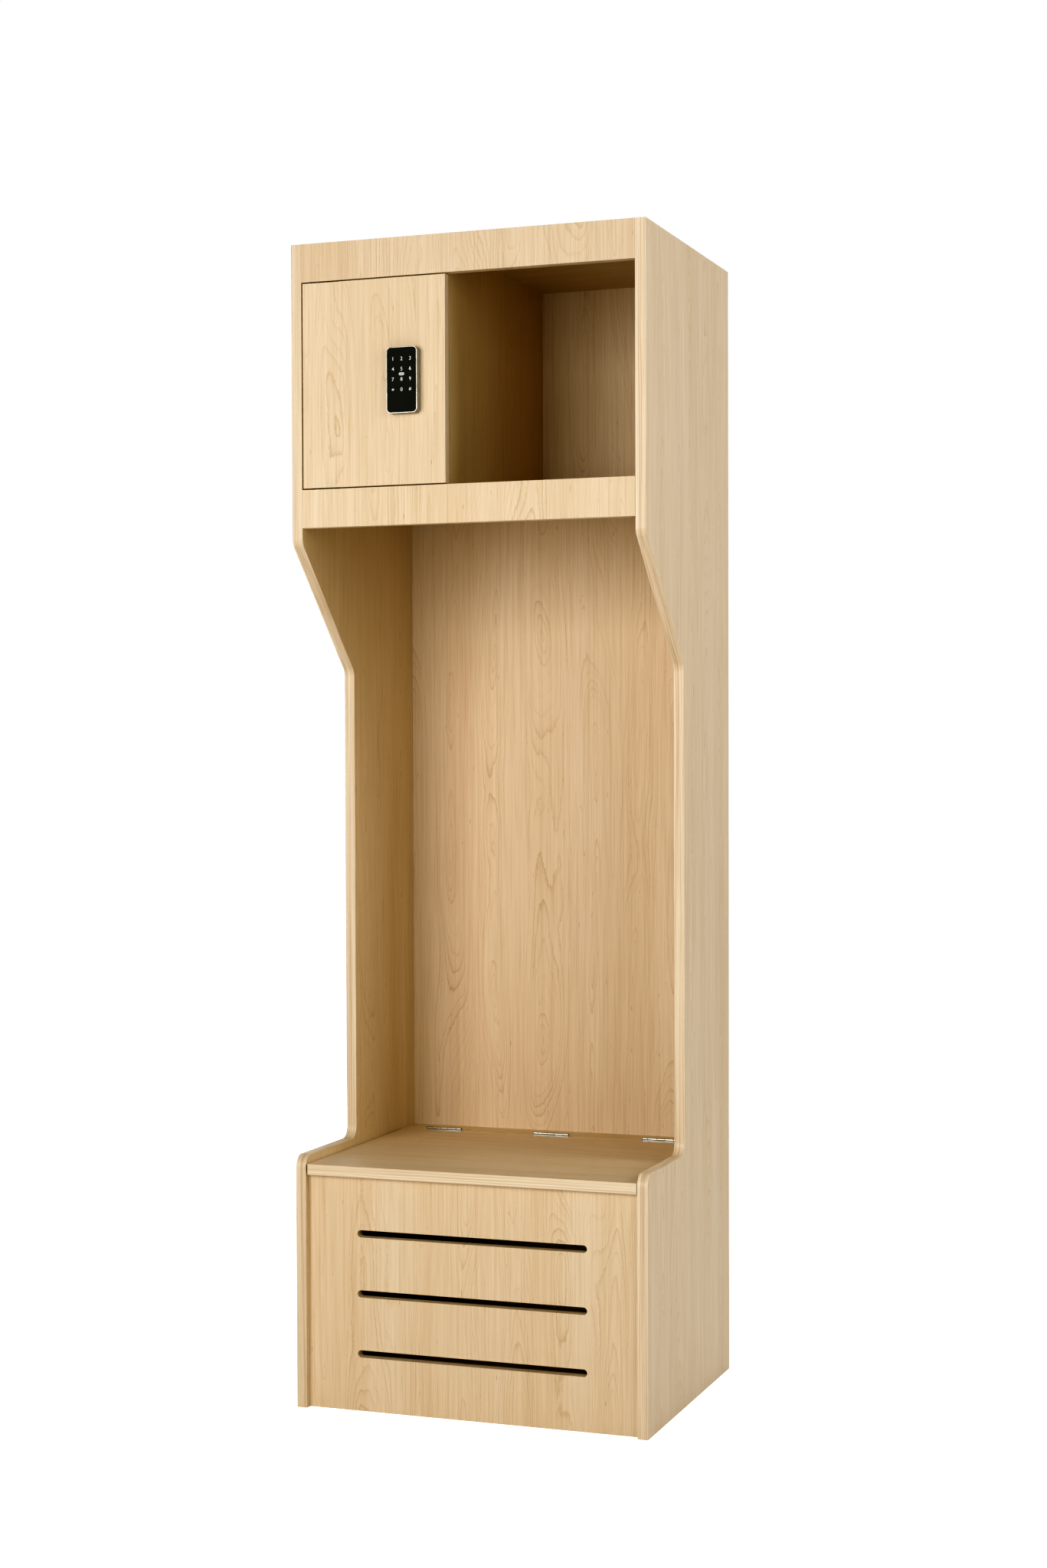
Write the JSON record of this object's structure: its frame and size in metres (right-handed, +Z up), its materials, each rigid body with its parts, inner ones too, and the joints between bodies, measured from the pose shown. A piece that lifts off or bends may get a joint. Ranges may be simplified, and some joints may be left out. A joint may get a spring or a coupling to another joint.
{
  "type": "team locker with keypad box",
  "caption": "Tall open-front wooden locker with a keypad-locked box, an open cubby, a hanging bay and a hinged bench lid over a vented footlocker.",
  "frame": {"origin": "on the floor, at the middle of the overall width and overall depth", "axes": "+Z up, +X to the right of someone facing the locker, -Y towards that person"},
  "size_m": [0.61, 0.515, 1.93],
  "materials": {
    "maple_laminate": "satin melamine with a fine maple grain",
    "edge_band": "satin edging with its grain along the edge",
    "beech_dowel": "plain beech",
    "hinge_steel": "bright steel",
    "pivot_steel": "satin steel",
    "screw_steel": "zinc-plated steel",
    "zinc_casting": "raw zinc casting",
    "nylon": "natural nylon",
    "clear_rubber": "clear soft bumper",
    "satin_lock_metal": "satin silver",
    "black_touch_panel": "gloss black",
    "smoked_lens": "smoked, gloss",
    "circuit_board": "green solder mask",
    "cable": "grey flat cable",
    "black_gasket": "matte black",
    "black_lock_body": "textured black",
    "bolt_steel": "ground steel",
    "gear_brass": "cut brass",
    "gearbox_plastic": "white acetal",
    "motor_steel": "drawn steel can",
    "battery_wrap": "printed wrap",
    "white_legend": "white print"
  },
  "bodies": {
    "cabinet": {"apron_rail": "maple_laminate", "back_panel": "maple_laminate", "back_screws": "screw_steel", "cam_bolts": "screw_steel", "cam_locks": "zinc_casting", "divider_band": "edge_band", "divider_panel": "maple_laminate", "door_bumpers": "clear_rubber", "header_rail": "maple_laminate", "hinge_pins": "hinge_steel", "hinge_rail": "maple_laminate", "hinge_rail_screws": "screw_steel", "left_hinge_rail_leaf": "hinge_steel", "left_side_band": "edge_band", "left_side_panel": "maple_laminate", "lid_bumpers": "clear_rubber", "locker_floor": "maple_laminate", "lower_pivot_frame_leaf": "pivot_steel", "middle_hinge_rail_leaf": "hinge_steel", "pivot_frame_screws": "screw_steel", "pivot_pins": "pivot_steel", "pivot_washers": "nylon", "right_hinge_rail_leaf": "hinge_steel", "right_side_band": "edge_band", "right_side_panel": "maple_laminate", "shelf_panel": "maple_laminate", "strike_plate": "pivot_steel", "strike_screws": "screw_steel", "top_panel": "maple_laminate", "upper_pivot_frame_leaf": "pivot_steel", "vent_front": "maple_laminate", "wood_dowels": "beech_dowel"},
    "lid": {"bench_lid": "maple_laminate", "lid_band": "edge_band", "left_hinge_lid_leaf": "hinge_steel", "middle_hinge_lid_leaf": "hinge_steel", "right_hinge_lid_leaf": "hinge_steel", "hinge_lid_screws": "screw_steel"},
    "door": {"door_panel": "maple_laminate", "door_band": "edge_band", "upper_pivot_door_leaf": "pivot_steel", "lower_pivot_door_leaf": "pivot_steel", "pivot_door_screws": "screw_steel", "lock_frame": "satin_lock_metal", "touch_panel": "black_touch_panel", "status_lens": "smoked_lens", "keypad_board": "circuit_board", "lock_base_plate": "black_gasket", "ribbon_cable": "cable", "rear_housing": "black_lock_body", "rear_cover": "black_lock_body", "rear_cover_screws": "screw_steel", "lock_mounting_screws": "screw_steel", "gearbox": "gearbox_plastic", "lock_motor": "motor_steel", "batteries": "battery_wrap", "control_board": "circuit_board", "bolt_guide": "nylon"},
    "bolt": {"latch_bolt": "bolt_steel"},
    "pinion": {"drive_pinion": "gear_brass"}
  },
  "joints": [
    {"name": "door_swing", "type": "hinge", "parent": "cabinet", "child": "door", "pos_m": [-0.261, -0.2335, 1.6965], "axis": [0, 0, -1], "range_deg": [0, 110]},
    {"name": "lid_lift", "type": "hinge", "parent": "cabinet", "child": "lid", "pos_m": [0, 0.1785, 0.4122], "axis": [-1, 0, 0], "range_deg": [0, 98]},
    {"name": "bolt_throw", "type": "slide", "parent": "door", "child": "bolt", "axis": [1, 0, 0], "range_m": [0, 0.012]},
    {"name": "pinion_spin", "type": "hinge", "parent": "door", "child": "pinion", "pos_m": [-0.096, -0.2125, 1.6984], "axis": [0, 1, 0], "range_deg": [0, 143.24]}
  ],
  "couplings": [
    {"joint": "pinion_spin", "follows": "bolt_throw", "rad_per_m": 208.33}
  ]
}
